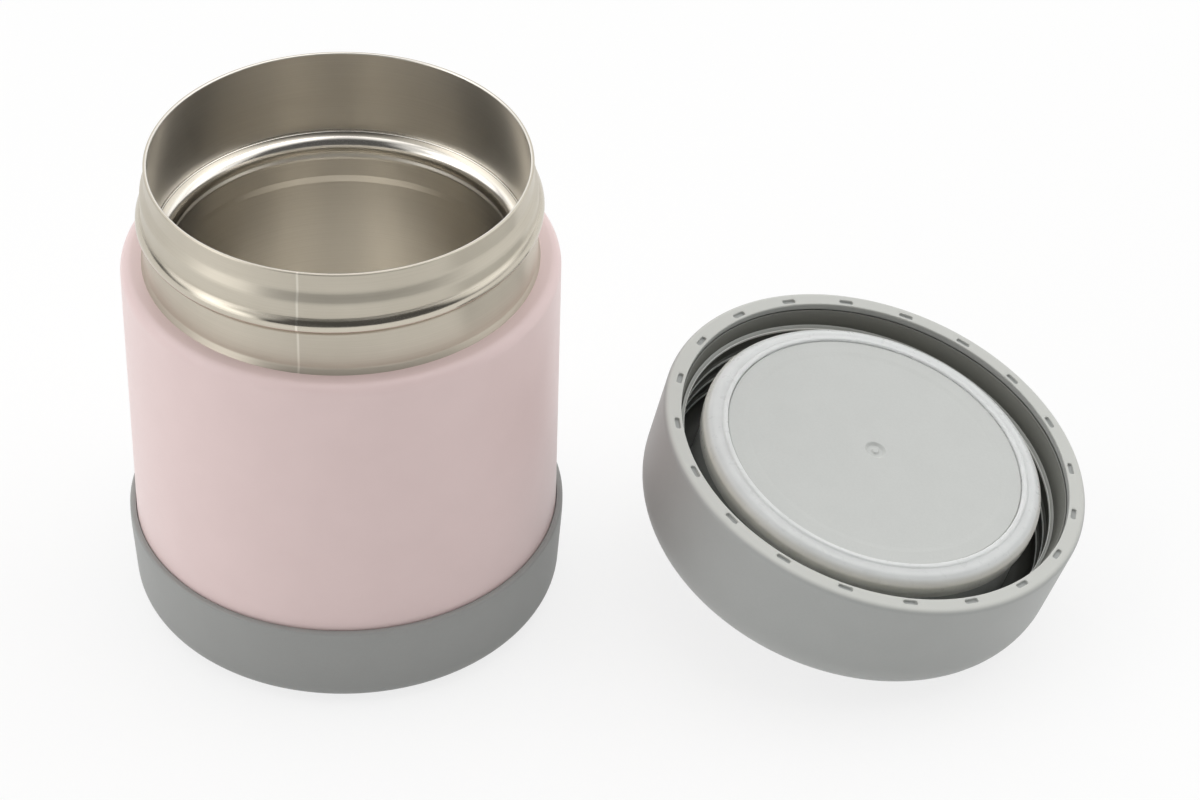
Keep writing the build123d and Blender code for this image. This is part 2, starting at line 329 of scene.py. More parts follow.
def turned_recipe() -> Recipe:
    """Sweep an outline round the Z axis, level or rising as a thread.

    Returns:
        The recipe. With Tapered at 1 both ends sink to Root Radius over End Angle.
    """
    sizes = ("Start Angle", "Turn", "Lead", "Tapered", "End Angle", "Root Radius")
    made = Recipe("turned_surface", {"Segments": "Int", **dict.fromkeys(sizes, "Float")})
    chain, segments, turn = (made.given(name) for name in ("Geometry", "Segments", "Turn"))
    rows = made.node("GeometryNodeAttributeDomainSize", (chain,), component="MESH")
    columns = made.node(MATH, (segments, 1.0), "ADD")
    grid = made.node("GeometryNodeMeshGrid", {"Vertices X": columns, "Vertices Y": rows})
    index = made.node("GeometryNodeInputIndex")
    row = made.node(MATH, (index, rows), "MODULO")
    column = made.node(MATH, (made.node(MATH, (index, rows), "DIVIDE"),), "FLOOR")
    place = made.node("GeometryNodeInputPosition")
    source = {"Geometry": chain, "Value": place, "Index": row}
    sampled = made.node("GeometryNodeSampleIndex", source, data_type="FLOAT_VECTOR", domain="POINT")
    outline_r, _, outline_z = add_node(made.tree, SPLIT, (sampled,)).outputs
    share = made.node(MATH, (column, segments), "DIVIDE")
    swept = made.node(MATH, (share, turn), "MULTIPLY")
    angle = made.node(MATH, (swept, made.given("Start Angle")), "ADD")
    nearer = made.node(MATH, (share, made.node(MATH, (1.0, share), "SUBTRACT")), "MINIMUM")
    to_end = made.node(MATH, (nearer, turn), "MULTIPLY")
    ramp = (to_end, 0.0, made.given("End Angle"), 1.0, 0.0)
    faded = made.node(RANGE, ramp, interpolation_type="SMOOTHSTEP")
    sink = made.node(MATH, (faded, made.given("Tapered")), "MULTIPLY")
    over = made.node(MATH, (made.given("Root Radius"), outline_r), "SUBTRACT")
    radius = made.node(MATH, (over, sink, outline_r), "MULTIPLY_ADD")
    turns = made.node(MATH, (swept, FULL_TURN), "DIVIDE")
    x = made.node(MATH, (radius, made.node(MATH, (angle,), "COSINE")), "MULTIPLY")
    y = made.node(MATH, (radius, made.node(MATH, (angle,), "SINE")), "MULTIPLY")
    z = made.node(MATH, (turns, made.given("Lead"), outline_z), "MULTIPLY_ADD")
    spot = made.node(JOIN, (x, y, z))
    moved = made.node(MOVE, {"Geometry": grid, "Position": spot})
    made.finish(made.node(MERGE, {"Geometry": moved, "Distance": 2 * WELD_M}))
    return made


def rolled_thread_recipe() -> Recipe:
    """Press a rising convex roll out of the outside of a turned wall.

    Returns:
        The recipe. Front Height is the roll's centre at the front, where Y is lowest. Over 1,
        Softness lets the roll run out gently into the wall.
    """
    wall_sizes = ("Wall", "Wall Radius")
    roll_sizes = ("Width", "Height", "Softness", "Lead", "Front Height", "Turn", "End Angle")
    made = Recipe("rolled_thread", dict.fromkeys((*wall_sizes, *roll_sizes), "Float"))
    wall, wall_r = (made.given(name) for name in wall_sizes)
    width, full, soft, lead, front, whole_turn, end = (made.given(name) for name in roll_sizes)
    x, y, z, radius = made.round_axis(made.node("GeometryNodeInputPosition"))
    angle = made.node(MATH, (x, made.node(MATH, (y, -1.0), "MULTIPLY")), "ARCTAN2")
    turns = made.node(MATH, (angle, FULL_TURN), "DIVIDE")
    middle = made.node(MATH, (turns, lead, front), "MULTIPLY_ADD")
    half = made.node(MATH, (width, 0.5), "MULTIPLY")
    off = made.node(MATH, (made.node(MATH, (z, middle), "SUBTRACT"), half), "DIVIDE")
    room = made.node(MATH, (1.0, made.node(MATH, (off, off), "MULTIPLY")), "SUBTRACT")
    bump = made.node(MATH, (made.node(MATH, (room, 0.0), "MAXIMUM"), soft), "POWER")
    half_turn = made.node(MATH, (whole_turn, 0.5), "MULTIPLY")
    left = made.node(MATH, (half_turn, made.node(MATH, (angle,), "ABSOLUTE")), "SUBTRACT")
    faded = made.node(RANGE, (left, 0.0, end), interpolation_type="SMOOTHSTEP")
    height = made.node(MATH, (made.node(MATH, (bump, full), "MULTIPLY"), faded), "MULTIPLY")
    inside = made.node(MATH, (wall, -OUTER_SKIN, wall_r), "MULTIPLY_ADD")
    outer = made.node(MATH, (radius, inside), "GREATER_THAN")
    pressed = made.node(MATH, (height, outer), "MULTIPLY")
    outward = made.node(VECTOR, (made.node(JOIN, (x, y)),), "NORMALIZE")
    push = made.node(VECTOR, {"Vector": outward, "Scale": pressed}, "SCALE")
    made.finish(made.node(MOVE, {"Geometry": made.given("Geometry"), "Offset": push}))
    return made


def ring_recipe() -> Recipe:
    """Repeat a sector round the Z axis and weld the copies into one ring.

    Returns:
        The recipe. Phase is the angle of the first sector.
    """
    made = Recipe("ring_of_sectors", {"Count": "Int", "Phase": "Float"})
    sector = made.given("Geometry")
    points = made.node("GeometryNodePoints", (made.given("Count"),))
    step = made.node(MATH, (FULL_TURN, made.given("Count")), "DIVIDE")
    index = made.node("GeometryNodeInputIndex")
    angle = made.node(MATH, (index, step, made.given("Phase")), "MULTIPLY_ADD")
    turn = made.node(JOIN, {"Z": angle})
    placed = {"Points": points, "Instance": sector, "Rotation": turn}
    copies = made.node("GeometryNodeInstanceOnPoints", placed)
    real = made.node("GeometryNodeRealizeInstances", (copies,))
    made.finish(made.node(MERGE, {"Geometry": real, "Distance": 4 * WELD_M}))
    return made


# ---------------------------------------------------------------- making pieces


@dataclass
class Workshop:
    """Puts recipes on outlines and bakes them into plain meshes."""

    turned: Recipe = field(default_factory=turned_recipe)
    rolled: Recipe = field(default_factory=rolled_thread_recipe)
    ring: Recipe = field(default_factory=ring_recipe)

    def bake(
        self, shape: bpy.types.Object, name: str, place: Matrix, shading: Shading
    ) -> bpy.types.Object:
        """Turn an object with modifiers into a finished plain mesh.

        Args:
            shape: Object that carries the modifiers; it is removed.
            name: Name of the piece.
            place: Where the piece's own frame stands in the part.
            shading: From which angle its edges stay crisp.

        Returns:
            The finished piece at the origin, its place in its mesh.
        """
        graph = bpy.context.evaluated_depsgraph_get()
        mesh = bpy.data.meshes.new_from_object(shape.evaluated_get(graph))
        bpy.data.objects.remove(shape)
        shell = bmesh.new()
        shell.from_mesh(mesh)
        bmesh.ops.remove_doubles(shell, verts=shell.verts, dist=WELD_M)
        loose = [edge for edge in shell.edges if not edge.link_faces]
        bmesh.ops.delete(shell, geom=loose, context="EDGES")
        bmesh.ops.holes_fill(shell, edges=[edge for edge in shell.edges if edge.is_boundary])
        bmesh.ops.recalc_face_normals(shell, faces=shell.faces)
        bmesh.ops.transform(shell, matrix=place, verts=shell.verts)
        shell.to_mesh(mesh)
        shell.free()
        mesh.shade_smooth()
        mesh.set_sharp_from_angle(angle=math.radians(shading.value))
        mesh.name = name
        return link_object(name, mesh)

    def turn(
        self,
        name: str,
        points: list[Point],
        material: Material,
        segments: int = 384,
        **thread: float,
    ) -> bpy.types.Object:
        """Put the turned recipe on an outline.

        Args:
            name: Name of the raw object.
            points: Outline in mm.
            material: Finish of the surface.
            segments: Steps round the whole sweep.
            thread: Start, turn, lead, end and root of a thread, in radians and metres.

        Returns:
            The object with its modifier.
        """
        shape = outline_object(name, points)
        values: dict[str, Any] = {
            "Segments": segments,
            "Start Angle": thread.get("start", 0.0),
            "Turn": thread.get("turn", FULL_TURN),
            "Lead": thread.get("lead", 0.0),
            "Tapered": 1.0 if "root" in thread else 0.0,
            "End Angle": thread.get("end", 0.1),
            "Root Radius": thread.get("root", 0.0),
            "Material": material,
        }
        self.turned.apply_to(shape, values)
        return shape


def mount(piece: bpy.types.Object, body: Body, replaced: tuple[str, ...]) -> None:
    """Tie a piece to its body and the solids that it stands for.

    Args:
        piece: Finished piece.
        body: Body that it rides on.
        replaced: CAD nodes that it stands for.
    """
    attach(piece, body.value)
    if replaced:
        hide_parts(*replaced)
    LOG.info("%s: %d faces on %s", piece.name, len(piece.data.polygons), body.value)


# ---------------------------------------------------------------- finishes


@dataclass
class Shader(Nodes):
    """Material under construction, with what several finishes share."""

    name: str
    material: Material = field(init=False)
    tree: bpy.types.NodeTree = field(init=False)
    surface: bpy.types.Node = field(init=False)
    place: Socket = field(init=False)

    def __post_init__(self) -> None:
        """Start from a Principled surface and the piece's own coordinates."""
        self.material = bpy.data.materials.new(self.name)
        self.material.use_nodes = True
        super().__init__(self.material.node_tree)
        self.surface = self.tree.nodes.new("ShaderNodeBsdfPrincipled")
        add_node(self.tree, "ShaderNodeOutputMaterial", {"Surface": self.surface.outputs[0]})
        self.place = add_node(self.tree, "ShaderNodeTexCoord").outputs["Object"]

    def patches(self, size_mm: float, **look: float) -> dict[int | str, Any]:
        """Inputs of a pattern on the piece, with patches about this many mm across."""
        return {"Vector": self.place, "Scale": per_metre(size_mm), **look}

    def graded(
        self, number: Socket, low: float, high: float, first: str | Socket, second: str | Socket
    ) -> Socket:
        """Colour that goes from one tone to another as a number goes from low to high.

        Args:
            number: Socket of the number.
            low: Number up to which the colour is the first one.
            high: Number from which the colour is the second one.
            first: sRGB hex colour, or the socket of a colour.
            second: As first.

        Returns:
            The colour's socket.
        """
        share = self.node(RANGE, (number, low, high))
        tones = [linear(tone) if isinstance(tone, str) else tone for tone in (first, second)]
        mixed = {FACTOR: share, COLOUR_A: tones[0], COLOUR_B: tones[1]}
        return self.node(MIX, mixed, data_type="RGBA")

    def hair_lines(self, run_mm: float, line_mm: float, **look: float) -> Socket:
        """Fine lines that run round the jar's axis, as a number from 0 to 1.

        Args:
            run_mm: Length over which a line changes.
            line_mm: Distance from line to line.
            look: Detail and roughness of the noise behind them.

        Returns:
            The number's socket.
        """
        x, y, z, radius = self.round_axis(self.place)
        across = self.node(MATH, (z, radius), "ADD")
        along, close = per_metre(run_mm), per_metre(line_mm)
        spot = self.node(JOIN, (x, y, across))
        drawn = self.node(VECTOR, (spot, (along, along, close)), "MULTIPLY")
        return self.node(NOISE, {"Vector": drawn, "Scale": 1.0, **look})

    def lid_frame(self) -> tuple[Socket, Socket]:
        """Measure a place on the lid from the lid's own frame.

        Returns:
            Height over the mouth plane and distance from the axis, in metres.
        """
        axis = Vector(LID_AXIS).normalized()
        arm = self.node(VECTOR, (self.place, Vector(LID_CENTRE) * MM), "SUBTRACT")
        height = self.node(VECTOR, (arm, axis), "DOT_PRODUCT")
        along = self.node(VECTOR, {"Vector": axis, "Scale": height}, "SCALE")
        across = self.node(VECTOR, (arm, along), "SUBTRACT")
        return height, self.node(VECTOR, (across,), "LENGTH")

    def dress(self, relief: Socket, depth_mm: float, **values: Any) -> Material:
        """Set inputs of the surface and raise it by a relief.

        Args:
            relief: Socket of the relief's height from 0 to 1.
            depth_mm: Real height of the relief where the number is 1.
            values: Value or socket by input name; an underscore stands for a space.

        Returns:
            The finished material.
        """
        values["Normal"] = self.node(BUMP, {"Distance": depth_mm * MM, "Height": relief})
        for name, value in values.items():
            socket = self.surface.inputs[name.replace("_", " ")]
            if isinstance(value, Socket):
                self.tree.links.new(value, socket)
            else:
                socket.default_value = value
        return self.material


class Finish(Protocol):
    """Anything that makes one of the object's materials."""

    def build(self) -> Material:
        """Make the material."""


@dataclass(frozen=True)
class PowderCoat:
    """Satin polyester powder coat on steel: baked film with a very fine orange peel."""

    colour: str = "#E8D1CF"
    shade: str = "#E6CFCD"
    roughness: float = 0.36
    spread: float = 0.03
    cloud_mm: float = 9.0
    peel_mm: float = 1.1
    depth_mm: float = 0.004

    def build(self) -> Material:
        """Make the material.

        Returns:
            The finished material.
        """
        made = Shader("powder_coated_steel")
        peel = made.node(NOISE, made.patches(self.peel_mm, Detail=1.0))
        cloud = made.node(NOISE, made.patches(self.cloud_mm))
        return made.dress(
            peel,
            self.depth_mm,
            Base_Color=made.graded(cloud, *MOST_NOISE, self.shade, self.colour),
            Roughness=made.node(RANGE, around(peel, self.roughness, self.spread)),
            IOR=1.5,
        )


@dataclass(frozen=True)
class BrushedSteel:
    """Stainless 18/8 sheet, spun and brushed round the axis, with a seam and a burnished roll.

    Sheet metal of this kind keeps fine hair lines that run round the wall. The rolled thread
    is rubbed bright, and the welded tube shows one straight seam.
    """

    light: str = "#D0C9BB"
    dark: str = "#BEB7A8"
    weld: str = "#EDE8DC"
    roughness: float = 0.36
    spread: float = 0.04
    burnished: float = 0.13
    contrast: Point = (0.25, 0.75)  # values of the pattern at which its tones are pure
    polished: float = 0.2  # share of the hair lines that polishing leaves
    run_mm: float = 35.714
    line_mm: float = 0.22  # real hair lines are finer; drawn as coarse as shows
    blotch_mm: float = 14.0
    blotch_share: float = 0.4
    depth_mm: float = 0.0004
    seam_deg: float = 262.6
    seam_w_mm: float = 0.5
    seam_edge: Point = (0.5, 1.3)  # start and end of the weld's soft edge, in half widths
    seam_tone: float = 0.6
    seam_rise: float = 10.0  # height of the weld, in depths of a hair line
    roll_r_mm: Point = (41.25, 41.6)  # the wall turns from brushed to burnished between these
    roll_z_mm: Point = (92.0, 93.0)

    def build(self) -> Material:
        """Make the material.

        Returns:
            The finished material.
        """
        made = Shader("brushed_stainless_steel")
        x, y, z, radius = made.round_axis(made.place)
        lines = made.hair_lines(self.run_mm, self.line_mm, Detail=3.0, Roughness=0.62)
        out = made.node(RANGE, (radius, *metres(self.roll_r_mm)))
        high = made.node(RANGE, (z, *metres(self.roll_z_mm)))
        rubbed = made.node(MATH, (out, high), "MULTIPLY")
        seam_at = math.radians(self.seam_deg) - FULL_TURN
        turned = made.node(MATH, (made.node(MATH, (y, x), "ARCTAN2"), seam_at), "SUBTRACT")
        aside = made.node(MATH, (made.node(MATH, (turned,), "ABSOLUTE"), radius), "MULTIPLY")
        edge = (share * self.seam_w_mm * MM / 2 for share in self.seam_edge)
        seam = made.node(RANGE, (aside, *edge, 1.0, 0.0))
        rough = made.node(RANGE, around(lines, self.roughness, self.spread))
        blotch = made.node(NOISE, made.patches(self.blotch_mm))
        tone = made.node(MIX, {FACTOR: self.blotch_share, NUMBER_A: lines, NUMBER_B: blotch})
        sheet = made.graded(tone, *self.contrast, self.dark, self.light)
        weld = made.node(MATH, (seam, self.seam_tone), "MULTIPLY")
        kept = made.node(RANGE, (rubbed, 0.0, 1.0, 1.0, self.polished))
        grain = made.node(MATH, (lines, kept), "MULTIPLY")
        gain = self.burnished - self.roughness
        return made.dress(
            made.node(MATH, (seam, self.seam_rise, grain), "MULTIPLY_ADD"),
            self.depth_mm,
            Base_Color=made.graded(weld, 0.0, 1.0, sheet, self.weld),
            Metallic=1.0,
            Roughness=made.node(MATH, (rubbed, gain, rough), "MULTIPLY_ADD"),
            Anisotropic=0.85,
            Anisotropic_Rotation=0.25,
        )


@dataclass(frozen=True)
class VesselSteel:
    """Stainless 18/8 food vessel: satin drawn wall, with the ledge rolled bright."""

    light: str = "#EBE7DF"
    dark: str = "#DFDAD1"
    roughness: float = 0.30
    spread: float = 0.02
    bright: float = 0.16
    contrast: Point = (0.1, 0.9)  # values of the lines at which their tones are pure
    polished: float = 0.2  # share of the lines that rolling the ledge leaves
    run_mm: float = 33.333
    line_mm: float = 0.16  # real polishing lines are finer; drawn as coarse as shows
    depth_mm: float = 0.0008
    ledge_low_mm: Point = (85.9, 86.4)  # the wall turns bright between these
    ledge_high_mm: Point = (89.45, 89.95)  # and satin again between these

    def build(self) -> Material:
        """Make the material.

        Returns:
            The finished material.
        """
        made = Shader("satin_stainless_steel")
        z = add_node(made.tree, SPLIT, (made.place,)).outputs["Z"]
        lines = made.hair_lines(self.run_mm, self.line_mm, Detail=2.0, Roughness=0.55)
        above = made.node(RANGE, (z, *metres(self.ledge_low_mm)))
        below = made.node(RANGE, (z, *metres(self.ledge_high_mm), 1.0, 0.0))
        ledge = made.node(MATH, (above, below), "MULTIPLY")
        rough = made.node(RANGE, around(lines, self.roughness, self.spread))
        kept = made.node(RANGE, (ledge, 0.0, 1.0, 1.0, self.polished))
        gain = self.bright - self.roughness
        return made.dress(
            made.node(MATH, (lines, kept), "MULTIPLY"),
            self.depth_mm,
            Base_Color=made.graded(lines, *self.contrast, self.dark, self.light),
            Metallic=1.0,
            Roughness=made.node(MATH, (ledge, gain, rough), "MULTIPLY_ADD"),
            Anisotropic=0.6,
            Anisotropic_Rotation=0.25,
        )


@dataclass(frozen=True)
class MattPlastic:
    """Moulded polypropylene from a spark-eroded tool: matt, with a fine even grain.

    The lid's rim face is painted paler, as painted light where light falls on its top; its colour is
    given for the lid's rim alone.
    """

    name: str
    light: str
    dark: str
    roughness: float = 0.5
    spread: float = 0.05
    grain_mm: float = 0.45  # the tool's grain is nearer 0.1 mm; drawn as coarse as shows
    depth_mm: float = 0.006
    cloud_mm: float = 8.0
    cloud_share: float = 0.4
    # painted light: paler colour of the lid's top rim face
    rim: str = ""
    painted_light_rim_mm: Point = (-0.55, -0.1)

    def build(self) -> Material:
        """Make the material.

        Returns:
            The finished material.
        """
        made = Shader(self.name)
        grain = made.node(NOISE, made.patches(self.grain_mm))
        cloud = made.node(NOISE, made.patches(self.cloud_mm))
        tone = made.node(MIX, {FACTOR: self.cloud_share, NUMBER_A: grain, NUMBER_B: cloud})
        colour = made.graded(tone, *MOST_NOISE, self.dark, self.light)
        # painted light: the lid's top rim face is painted paler than its wall
        if self.rim:
            height, _ = made.lid_frame()
            colour = made.graded(height, *metres(self.painted_light_rim_mm), colour, self.rim)
        rough = made.node(RANGE, around(grain, self.roughness, self.spread))
        return made.dress(grain, self.depth_mm, Base_Color=colour, Roughness=rough, IOR=1.49)


@dataclass(frozen=True)
class ThreadPlastic:
    """Moulded polypropylene of the threaded sleeve: matt, with painted shade that darkens it towards
    the groove.

    The steel thread rubs the crest of the ridge, which turns smooth; the crest's pale colour is a
    painted highlight.
    """

    name: str
    # upper and lower: colours near the lip and deep in the groove; their difference is painted shade
    upper: str
    lower: str
    # painted highlight: colour of the ridge's crest
    crest: str = "#F2F3F0"
    crest_mm: Point = (42.2, 42.3)
    painted_shade_mm: Point = (-9.2, -7.4)
    roughness: float = 0.45
    spread: float = 0.05
    # rubbed smooths the crest and also turns on its painted highlight
    rubbed: bool = True
    smoothed: float = 0.15  # how much smoother the rubbed crest is
    grain_mm: float = 0.5
    depth_mm: float = 0.005

    def build(self) -> Material:
        """Make the material.

        Returns:
            The finished material.
        """
        made = Shader(self.name)
        height, radius = made.lid_frame()
        grain = made.node(NOISE, made.patches(self.grain_mm))
        # painted shade: the colour darkens from upper to lower deeper in the groove
        colour = made.graded(height, *metres(self.painted_shade_mm), self.lower, self.upper)
        rough = made.node(RANGE, around(grain, self.roughness, self.spread))
        # painted highlight on the crest; the smoothing of its roughness is real rubbing
        if self.rubbed:
            highlit_crest = metres(self.crest_mm)
            colour = made.graded(radius, *highlit_crest, self.crest, colour)
            smoother = made.node(RANGE, (radius, *highlit_crest, self.smoothed, 0.0))
            rough = made.node(MATH, (rough, smoother), "SUBTRACT")
        return made.dress(grain, self.depth_mm, Base_Color=colour, Roughness=rough, IOR=1.49)


@dataclass(frozen=True)
class Silicone:
    """Moulded food-grade silicone rubber: milky, slightly glossy, lit from within."""

    name: str
    light: str
    dark: str
    roughness: float = 0.31
    spread: float = 0.05
    contrast: Point = (0.35, 0.65)  # values of the clouds at which their tones are pure
    # skirt colour: partly the rubber's own cream tint, partly painted light on its shaded flank
    skirt: str = ""
    skirt_mm: Point = (-3.6, -1.5)
    glow: float = 1.0
    glow_mm: float = 3.0
    gloss: float = 0.25
    cloud_mm: float = 5.0
    smear_mm: float = 1.5
    depth_mm: float = 0.004

    def build(self) -> Material:
        """Make the material.

        Returns:
            The finished material.
        """
        made = Shader(self.name)
        cloud = made.node(NOISE, made.patches(self.cloud_mm))
        colour = made.graded(cloud, *self.contrast, self.dark, self.light)
        # painted light: the skirt is painted near-white cream, partly its own tint
        if self.skirt:
            height, _ = made.lid_frame()
            colour = made.graded(height, *metres(self.skirt_mm), self.skirt, colour)
        smear = made.node(NOISE, made.patches(self.smear_mm))
        return made.dress(
            cloud,
            self.depth_mm,
            Base_Color=colour,
            Roughness=made.node(RANGE, around(smear, self.roughness, self.spread)),
            IOR=1.41,
            Subsurface_Weight=self.glow,
            Subsurface_Radius=(1.0, 1.0, 1.0),
            Subsurface_Scale=self.glow_mm * MM,
            Coat_Weight=self.gloss,
            Coat_Roughness=0.12,
        )


@dataclass(frozen=True)
class DullMetal:
    """Plain inner metal, as sheet, braze or sintered pellet: cloudy and uneven."""

    name: str
    light: str
    dark: str
    roughness: float = 0.41
    grain_mm: float = 0.6
    depth_mm: float = 0.01
    spread: float = 0.09

    def build(self) -> Material:
        """Make the material.

        Returns:
            The finished material.
        """
        made = Shader(self.name)
        grain = made.node(NOISE, made.patches(self.grain_mm, Detail=3.0))
        colour = made.graded(grain, *MOST_NOISE, self.dark, self.light)
        rough = made.node(RANGE, around(grain, self.roughness, self.spread))
        return made.dress(grain, self.depth_mm, Base_Color=colour, Metallic=1.0, Roughness=rough)


@dataclass(frozen=True)
class BeadFoam:
    """Expanded polypropylene foam: white beads of about 3 mm fused together."""

    light: str = "#F1F0EC"
    dark: str = "#D9D8D2"
    bead_mm: float = 3.0
    groove: float = 0.12  # share of a bead that its groove takes
    depth_mm: float = 0.15

    def build(self) -> Material:
        """Make the material.

        Returns:
            The finished material.
        """
        made = Shader("expanded_bead_foam")
        beads = made.patches(self.bead_mm)
        cells = made.node("ShaderNodeTexVoronoi", beads, feature="DISTANCE_TO_EDGE")
        relief = made.node(RANGE, (cells, 0.0, self.groove))
        colour = made.graded(cells, 0.0, self.groove, self.dark, self.light)
        return made.dress(relief, self.depth_mm, Base_Color=colour, Roughness=0.75, IOR=1.4)


def dressed_in(finish: Finish) -> Any:
    """Field whose material is made together with the other finishes."""
    return field(default_factory=finish.build)


@dataclass
class Finishes:
    """Every material of the object."""

    coat: Material = dressed_in(PowderCoat())
    steel: Material = dressed_in(BrushedSteel())
    vessel: Material = dressed_in(VesselSteel())
    boot: Material = dressed_in(MattPlastic("matt_grey_polypropylene", "#9C9D9B", "#989997"))
    # painted light: the lid's rim face is painted paler
    lid: Material = dressed_in(
        MattPlastic("satin_grey_polypropylene", "#ABADAB", "#A7A9A7", roughness=0.45, rim="#C4C5C0")
    )
    liner: Material = dressed_in(
        MattPlastic(
            "spark_grained_polypropylene", "#C6C8C5", "#C1C3C0", grain_mm=0.5, depth_mm=0.012
        )
    )
    # painted shade: the sleeve is painted darker than the liner, and darker still deeper down
    sleeve: Material = dressed_in(
        ThreadPlastic(
            "sleeve_polypropylene", "#7B7C77", "#60615C", painted_shade_mm=(-8.0, -2.5), rubbed=False
        )
    )
    # painted highlight on the ridge's crest, painted shade on its lower turns
    ridge: Material = dressed_in(ThreadPlastic("rubbed_polypropylene_painted_highlight_and_shade", "#A6A8A4", "#5E5F5A"))
    # the gasket's skirt: cream tint, partly painted light on its shaded flank
    gasket: Material = dressed_in(
        Silicone("clear_silicone_rubber", "#D8DAD9", "#D4D6D5", skirt="#FDF7E8")
    )
    pad: Material = dressed_in(
        Silicone(
            "grey_silicone_rubber",
            "#8A8C89",
            "#808280",
            roughness=0.56,
            glow=0.0,
            glow_mm=1.0,
            gloss=0.0,
        )
    )
    sheet: Material = dressed_in(DullMetal("annealed_stainless_sheet", "#B9B3A8", "#A19B8F"))
    braze: Material = dressed_in(
        DullMetal(
            "brazing_alloy", "#C2A56E", "#A4884F", roughness=0.46, grain_mm=0.8, depth_mm=0.03
        )
    )
    pellet: Material = dressed_in(
        DullMetal(
            "sintered_getter_alloy",
            "#6F6D6A",
            "#4B4A48",
            roughness=0.66,
            grain_mm=0.35,
            depth_mm=0.04,
        )
    )
    foam: Material = dressed_in(BeadFoam())


# ---------------------------------------------------------------- jar


